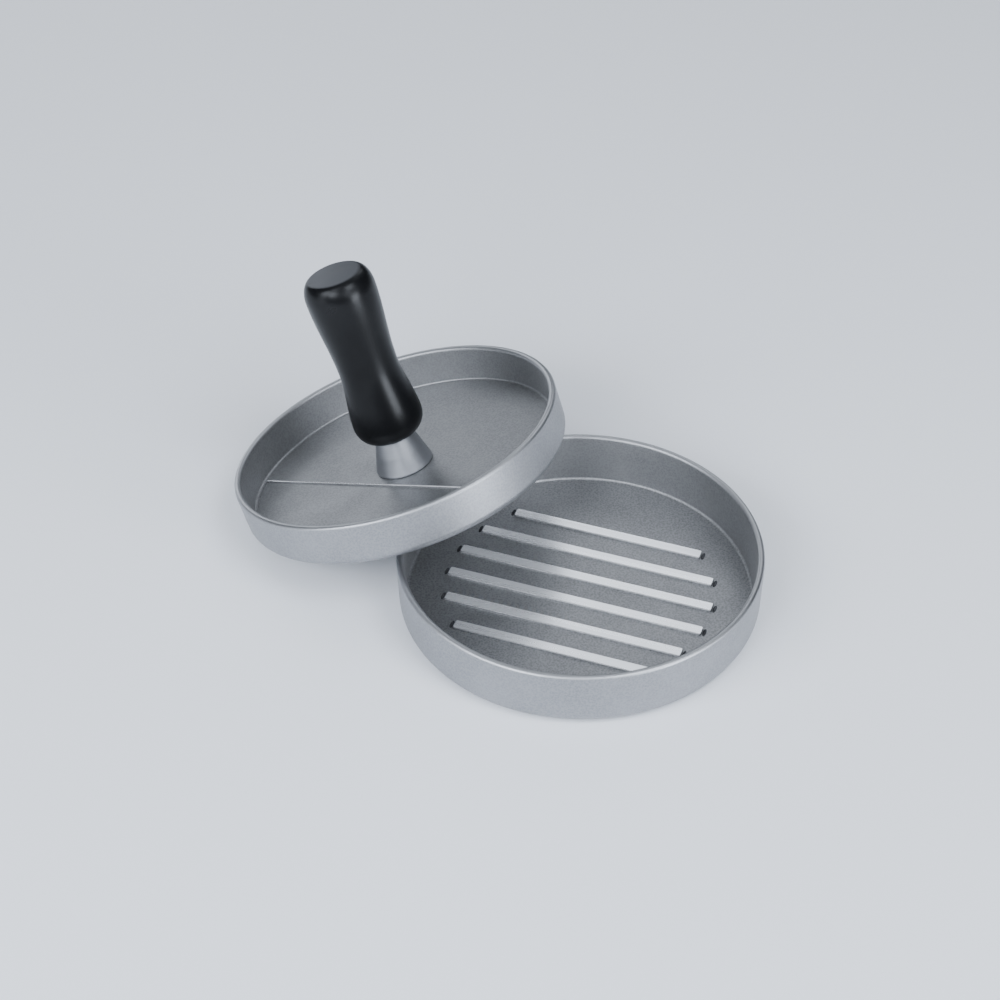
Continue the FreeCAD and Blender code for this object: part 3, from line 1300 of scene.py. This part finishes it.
@dataclass
class Handle:
    """The waisted grip."""

    effects: Effects
    axle: Axle
    foot_radius: float = 6.3 * MM
    bulge_radius: float = 12.1 * MM
    bulge_height: float = 6.5 * MM
    waist_radius: float = 10.1 * MM
    waist_height: float = 27.1 * MM
    head_radius: float = 11.95 * MM
    head_height: float = 54.9 * MM
    top_round: float = 3.6 * MM
    crown: float = 0.5 * MM

    def outline(self, low: float, high: float) -> list[tuple[float, float, float]]:
        """Follow the grip from its foot to the middle of its crown.

        Args:
            low: Height of its foot.
            high: Height of the top of its crown.

        Returns:
            Corners as (radius, height, rounding), with no rounding left to add.
        """
        shoulder = high - self.crown
        crown_radius = self.head_radius - self.top_round
        bulge = low + self.bulge_height
        head = low + self.head_height
        points = [(0.0, low)]
        points += quarter((self.foot_radius, bulge), self.bulge_radius - self.foot_radius,
                          -self.bulge_height)
        waist = low + self.waist_height
        points += ease((self.bulge_radius, bulge), (self.waist_radius, waist))
        points += ease((self.waist_radius, waist), (self.head_radius, head))
        points += reversed(quarter((crown_radius, head), self.top_round, shoulder - head))
        for share in (0.75, 0.5, 0.25, 0.0):
            points.append((crown_radius * share, high - self.crown * share ** 2))
        kept = [points[0]]
        for point in points[1:]:
            if math.dist(point, kept[-1]) > 0.01 * MM:
                kept.append(point)
        return [(radius, height, 0.0) for radius, height in kept]

    def build(self) -> bpy.types.Object:
        """Returns: the turned handle, dressed."""
        low, high, _ = self.axle.span("handle")
        piece = lathe("handle_grip", self.outline(low, high), steps=128)
        smooth(piece, 60.0)
        plastic = MouldedPlastic(self.axle, high - self.crown)
        piece.data.materials.append(plastic.material("moulded_black", self.effects))
        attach(piece, "press")
        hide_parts("handle")
        lay(piece, self.axle.placing())
        return piece


def quarter(centre: tuple[float, float], across: float, up: float,
            steps: int = 14) -> list[tuple[float, float]]:
    """Quarter of an ellipse.

    Args:
        centre: Its middle as (radius, height).
        across: Its reach outwards.
        up: Its reach upwards, or downwards if below zero.
        steps: How many flats it has.

    Returns:
        Points from the place straight above or below the centre to the one beside it.
    """
    angles = [math.pi / 2 * index / steps for index in range(steps + 1)]
    return [(centre[0] + across * math.sin(angle), centre[1] + up * math.cos(angle))
            for angle in angles]


def ease(start: tuple[float, float], end: tuple[float, float],
         steps: int = 22) -> list[tuple[float, float]]:
    """A smooth swell from one radius to another, upright at both ends.

    Args:
        start: First (radius, height).
        end: Last (radius, height).
        steps: How many flats it has.

    Returns:
        Points along the swell, both ends included.
    """
    points = []
    for index in range(steps + 1):
        share = index / steps
        blend = share * share * (3 - 2 * share)
        points.append((start[0] + (end[0] - start[0]) * blend,
                       start[1] + (end[1] - start[1]) * share))
    return points


@dataclass
class Fixings:
    """The screw, with its washers and the insert that it holds in."""

    effects: Effects
    axle: Axle
    head_height: float = 3.0 * MM
    head_round: float = 1.2 * MM
    shoulder_round: float = 0.2 * MM
    tip_round: float = 0.3 * MM
    shank_radius: float = 2.5 * MM
    slot_width: float = 1.2 * MM
    slot_depth: float = 1.4 * MM
    slot_turn: float = 20.0

    def build(self) -> bpy.types.Object:
        """Turn the screw and cut its cross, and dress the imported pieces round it.

        Returns:
            The screw.
        """
        low, high, radius = self.axle.span("handle_screw")
        shoulder = low + self.head_height
        piece = lathe("pan_head_screw", [
            (0, low, 0),
            (radius, low, self.head_round),
            (radius, shoulder, self.shoulder_round),
            (self.shank_radius, shoulder, 0),
            (self.shank_radius, high, self.tip_round),
            (0, high, 0),
        ], steps=64)
        size = Vector((radius * 1.3, self.slot_width, 2 * self.slot_depth))
        for turn in (self.slot_turn, self.slot_turn + 90.0):
            combine(piece, block("slot", size, Vector((0, 0, low)), turn), Cut.REMOVE)
        smooth(piece)
        steel = TurnedMetal(self.axle, (0.60, 0.60, 0.61), (0.50, 0.50, 0.51), 0.30)
        brass = TurnedMetal(self.axle, (0.78, 0.60, 0.28), (0.66, 0.50, 0.22), 0.32)
        steel_skin = steel.material("stainless_steel", self.effects)
        piece.data.materials.append(steel_skin)
        for node in ("spring_washer", "plain_washer"):
            self.redress(node, steel_skin)
        self.redress("threaded_insert", brass.material("turned_brass", self.effects))
        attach(piece, "press")
        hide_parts("handle_screw")
        lay(piece, self.axle.placing())
        return piece

    def redress(self, node: str, material: bpy.types.Material) -> None:
        """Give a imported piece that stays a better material."""
        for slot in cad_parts[node].material_slots:
            slot.material = material


# --- the studio ---------------------------------------------------------------------------


@dataclass(frozen=True)
class SoftBox:
    """One soft area lamp that points at the object.

    Attributes:
        around: Degrees round the object: 0 is behind it, 90 to its left, 180 in front.
        rise: Degrees above the floor.
        power: Its power in watts.
        size: Its side length.
        distance: How far it hangs from the object.
    """

    around: float
    rise: float
    power: float
    size: float = 0.45
    distance: float = 1.1

    def hang(self, aim: Vector, bearing: float, colour: Colour) -> None:
        """Add the lamp to the scene.

        Args:
            aim: What it points at.
            bearing: Degrees from +X to straight behind the object.
            colour: Colour of its light.
        """
        turn, rise = math.radians(bearing + self.around), math.radians(self.rise)
        out = Vector((math.cos(turn) * math.cos(rise), math.sin(turn) * math.cos(rise),
                      math.sin(rise)))
        bpy.ops.object.light_add(type="AREA", location=aim + out * self.distance)
        lamp = bpy.context.object
        lamp.name = f"soft_box_{self.around:.0f}_{self.rise:.0f}"
        lamp.rotation_euler = (-out).to_track_quat("-Z", "Y").to_euler()
        lamp.data.shape = "SQUARE"
        lamp.data.size = self.size
        lamp.data.energy = self.power
        lamp.data.color = colour


@dataclass
class Studio:
    """Floor, lamps, surroundings and camera.

    Attributes:
        effects: The shared node groups.
        aim: What the camera looks at.
        middle: What the lamps point at.
        bearing: Degrees from +X to where the camera looks.
        fall: Degrees that it looks down.
        roll: Degrees that it is tilted sideways.
        distance: From the camera to its aim.
        lens: Focal length in millimetres, on a sensor 36 mm wide.
        ambient: Strength of the surroundings' light on the object.
        backdrop: Strength of the surroundings as the camera sees them.
        light: Colour of the lamps.
        lamps: The soft boxes.
    """

    effects: Effects
    aim: Vector = field(default_factory=lambda: Vector((-47.7, 29.5, 0.0)) * MM)
    middle: Vector = field(default_factory=lambda: Vector((-20, 0, 30)) * MM)
    bearing: float = 120.83
    fall: float = 40.45
    roll: float = -0.75
    distance: float = 0.8149
    lens: float = 84.52
    ambient: float = 0.02
    backdrop: float = 1.45
    light: Colour = (0.85, 0.91, 1.0)
    lamps: tuple[SoftBox, ...] = (
        SoftBox(150, 34, 7.2), SoftBox(-135, 58, 6.9), SoftBox(120, 34, 6.5),
        SoftBox(-129, 10, 10.6), SoftBox(-150, 34, 2.8),
        SoftBox(135, 58, 2.4), SoftBox(30, 10, 1.6), SoftBox(120, 10, 1.6),
        SoftBox(-120, 34, 1.1), SoftBox(180, 34, 0.9), SoftBox(30, 34, 0.8),
        SoftBox(-10, 36, 1.4), SoftBox(0, 58, 0.7), SoftBox(-45, 58, 0.6),
        SoftBox(0, 89, 0.5), SoftBox(45, 58, 0.3), SoftBox(-30, 34, 0.3))

    def build(self) -> None:
        """Set up everything round the object."""
        self.lay_floor()
        self.set_surroundings()
        self.hang_lamps()
        self.set_camera()

    def lay_floor(self) -> None:
        """Lay the pale floor just under the object."""
        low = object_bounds()[0][2]
        bpy.ops.object.select_all(action="DESELECT")
        bpy.ops.mesh.primitive_plane_add(size=6.0, location=(0, 0, low - FLOOR_GAP))
        floor = bpy.context.object
        floor.name = "pale_floor"
        bpy.ops.object.transform_apply(location=True, rotation=True, scale=True)
        with Editing(floor):
            bpy.ops.mesh.select_all(action="SELECT")
            bpy.ops.mesh.subdivide(number_cuts=8)
        floor.data.materials.append(PaleTop().material("pale_top", self.effects))
        floor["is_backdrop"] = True

    def set_surroundings(self) -> None:
        """Keep the surroundings nearly dark for the metal, and pale where they are seen."""
        world = bpy.data.worlds.new("studio")
        bpy.context.scene.world = world
        world.use_nodes = True
        wiring = Wiring(world.node_tree)
        background = world.node_tree.nodes["Background"]
        wiring.feed(background, "Color", (0.93, 0.95, 1.0, 1.0))
        wiring.feed(background, "Strength", self.ambient)
        backdrop = wiring.node("ShaderNodeBackground", Color=(0.94, 0.965, 1.0, 1.0),
                               Strength=self.backdrop)
        either = wiring.node("ShaderNodeMixShader")
        seen = wiring.node("ShaderNodeLightPath").outputs["Is Camera Ray"]
        for index, value in enumerate((seen, background.outputs[0], backdrop.outputs[0])):
            wiring.feed(either, index, value)
        wiring.feed(world.node_tree.nodes["World Output"], "Surface", either.outputs[0])

    def hang_lamps(self) -> None:
        """Hang the soft boxes: strong ones in front, weaker ones behind."""
        for lamp in self.lamps:
            lamp.hang(self.middle, self.bearing, self.light)

    def set_camera(self) -> None:
        """Stand the camera, level but for a slight roll, and look down at the press."""
        bearing, fall, roll = (math.radians(a) for a in (self.bearing, self.fall, self.roll))
        ahead = Vector((math.cos(bearing) * math.cos(fall), math.sin(bearing) * math.cos(fall),
                        -math.sin(fall)))
        right = ahead.cross(Vector((0, 0, 1))).normalized()
        above = right.cross(ahead)
        across = right * math.cos(roll) + above * math.sin(roll)
        upright = above * math.cos(roll) - right * math.sin(roll)
        turn = Matrix((across, upright, -ahead)).transposed().to_4x4()
        bpy.ops.object.camera_add()
        camera = bpy.context.object
        camera.name = "camera"
        camera.data.lens = self.lens
        camera.data.sensor_width = 36.0
        camera.data.clip_start = 0.01
        camera.matrix_world = Matrix.Translation(self.aim - ahead * self.distance) @ turn
        bpy.context.scene.camera = camera


def main() -> None:
    """Build and dress every piece, then the studio."""
    logging.basicConfig(level=logging.INFO, format="%(name)s: %(message)s")
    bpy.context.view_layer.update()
    effects = Effects.build()
    axle = plate_axle(PressPlate.rib_height)
    makers = (BaseDish(effects), PressPlate(effects, axle), Collar(effects, axle),
              Handle(effects, axle), Fixings(effects, axle))
    for maker in makers:
        piece = maker.build()
        LOG.info("%s: %d faces", piece.name, len(piece.data.polygons))
    Studio(effects).build()


if __name__ == "__main__":
    main()
